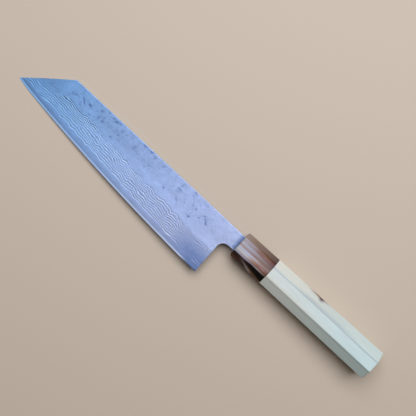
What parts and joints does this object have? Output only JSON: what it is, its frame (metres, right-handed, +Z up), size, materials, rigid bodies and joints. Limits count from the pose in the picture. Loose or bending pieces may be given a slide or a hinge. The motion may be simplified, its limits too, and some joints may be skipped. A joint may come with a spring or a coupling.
{
  "type": "kitchen knife",
  "caption": "Kiritsuke kitchen knife lying on its side: laminated water-pattern blade with a clipped point, octagonal pale wood handle with a marbled horn ferrule.",
  "frame": {"origin": "on the surface it lies on, under the middle of the knife's bounding box", "axes": "+X along the handle's axis towards the butt, tipped up with it by about 2.3 degrees; +Y across the blade towards the spine; +Z up, away from the table"},
  "size_m": [0.362, 0.053, 0.0258],
  "materials": {
    "core_steel": "fine satin, polished bevel along the edge",
    "layered_steel": "etched water pattern on the ground faces, hammered above",
    "horn": "polished marbled horn",
    "pale_wood": "bare sanded pale wood with fine grain",
    "bedding_resin": "set resin, hidden",
    "seal_wax": "dark matt seal"
  },
  "bodies": {
    "root": {"core_steel": "core_steel", "cladding_upper": "layered_steel", "cladding_lower": "layered_steel", "ferrule": "horn", "handle": "pale_wood", "tang_bedding": "bedding_resin", "mouth_seal": "seal_wax"}
  },
  "joints": []
}
